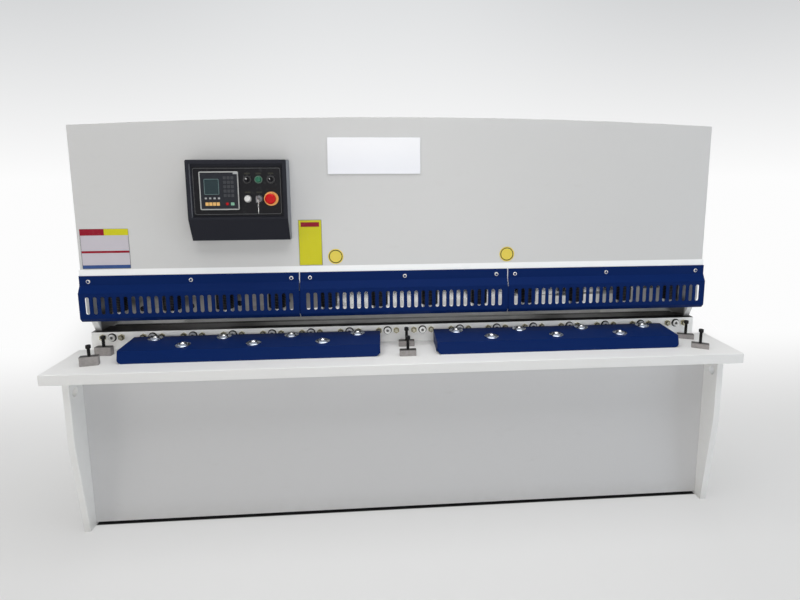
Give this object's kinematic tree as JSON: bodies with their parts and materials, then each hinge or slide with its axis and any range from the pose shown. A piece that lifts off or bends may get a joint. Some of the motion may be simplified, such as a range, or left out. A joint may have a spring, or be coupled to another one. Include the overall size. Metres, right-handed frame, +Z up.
{
  "type": "swing beam shear",
  "caption": "Floor-standing hydraulic swing beam shear with raked blade beam, hold-down row, slotted finger guards, ball trays on the table and a control box.",
  "frame": {"origin": "on the floor under the middle of the whole machine", "axes": "+Z up, +X to the operator's right, -Y towards the operator"},
  "size_m": [2.692, 1.61, 1.62],
  "materials": {
    "white_paint": "smooth light grey-white machine paint, semi-gloss",
    "blue_paint": "navy blue satin powder coat",
    "charcoal_paint": "charcoal fine-textured powder coat",
    "rail_steel": "machined steel with a painted front face",
    "blade_steel": "ground tool steel",
    "dark_steel": "dark oxidised steel",
    "bright_steel": "bright zinc and polished balls",
    "seat_steel": "grey machined steel blocks",
    "black_oxide": "black oxide screws",
    "panel_black": "matt black faceplate",
    "unit_grey": "dark controller housing",
    "green_plastic": "green button",
    "white_plastic": "white button",
    "red_plastic": "red mushroom head",
    "clear_plate": "blank glossy plate",
    "motor_paint": "painted cast motor"
  },
  "bodies": {
    "machine_frame": {"left_side_frame": "white_paint", "right_side_frame": "white_paint", "foot_plates": "white_paint", "work_table": "white_paint", "front_apron": "white_paint", "table_beam": "white_paint", "blade_rail": "rail_steel", "rail_screws": "bright_steel", "lower_blade": "blade_steel", "front_panel": "white_paint", "finger_guard_left": "blue_paint", "finger_guard_centre": "blue_paint", "finger_guard_right": "blue_paint", "holddown_carrier": "white_paint", "holddown_cylinders": "dark_steel", "ball_trays": "blue_paint", "ball_units": "bright_steel", "support_seats": "seat_steel", "seat_screws": "black_oxide", "pivot_pins": "dark_steel", "ram_shelf": "white_paint", "ram_cylinders": "dark_steel", "oil_tank": "white_paint", "motor_pump": "motor_paint", "electric_cabinet": "white_paint", "rear_ties": "white_paint", "scrap_chute": "white_paint", "control_box": "charcoal_paint", "control_faceplate": "panel_black", "controller_unit": "unit_grey", "button_bezels": "bright_steel", "name_plate": "clear_plate"},
    "swing_beam": {"swing_beam": "white_paint", "beam_arms": "white_paint", "upper_blade": "blade_steel", "gauge_rails": "white_paint", "gauge_bar": "blade_steel"},
    "ram_rods": {"ram_rods": "bright_steel"},
    "plungers": {"holddown_plungers": "bright_steel"},
    "green_button": {"green_button": "green_plastic"},
    "white_button": {"white_button": "white_plastic"},
    "left_selector": {"left_selector": "panel_black"},
    "right_selector": {"right_selector": "panel_black"},
    "key_switch": {"key_switch": "bright_steel"},
    "emergency_stop": {"emergency_stop": "red_plastic"}
  },
  "joints": [
    {"name": "beam_swing", "type": "hinge", "parent": "machine_frame", "child": "swing_beam", "pos_m": [0, 0.325, 0.8], "axis": [1, 0, 0], "range_deg": [0, 9]},
    {"name": "ram_stroke", "type": "slide", "parent": "machine_frame", "child": "ram_rods", "axis": [0, 0, -1], "range_m": [0, 0.084]},
    {"name": "holddown_stroke", "type": "slide", "parent": "machine_frame", "child": "plungers", "axis": [0, 0, -1], "range_m": [0, 0.053], "stiffness_N_per_m": 9000, "springref_m": -0.06},
    {"name": "green_press", "type": "slide", "parent": "machine_frame", "child": "green_button", "axis": [0, 1, 0], "range_m": [0, 0.004], "stiffness_N_per_m": 900, "springref_m": -0.002},
    {"name": "white_press", "type": "slide", "parent": "machine_frame", "child": "white_button", "axis": [0, 1, 0], "range_m": [0, 0.004], "stiffness_N_per_m": 900, "springref_m": -0.002},
    {"name": "left_selector_turn", "type": "hinge", "parent": "machine_frame", "child": "left_selector", "pos_m": [-0.606, -0.635, 1.3775], "axis": [0, 1, 0], "range_deg": [-45, 45]},
    {"name": "right_selector_turn", "type": "hinge", "parent": "machine_frame", "child": "right_selector", "pos_m": [-0.517, -0.635, 1.3775], "axis": [0, 1, 0], "range_deg": [-45, 45]},
    {"name": "key_turn", "type": "hinge", "parent": "machine_frame", "child": "key_switch", "pos_m": [-0.563, -0.635, 1.304], "axis": [0, 1, 0], "range_deg": [0, 90]},
    {"name": "stop_press", "type": "slide", "parent": "machine_frame", "child": "emergency_stop", "axis": [0, 1, 0], "range_m": [0, 0.005]}
  ],
  "couplings": [
    {"joint": "ram_stroke", "follows": "beam_swing", "m_per_rad": 0.532}
  ]
}
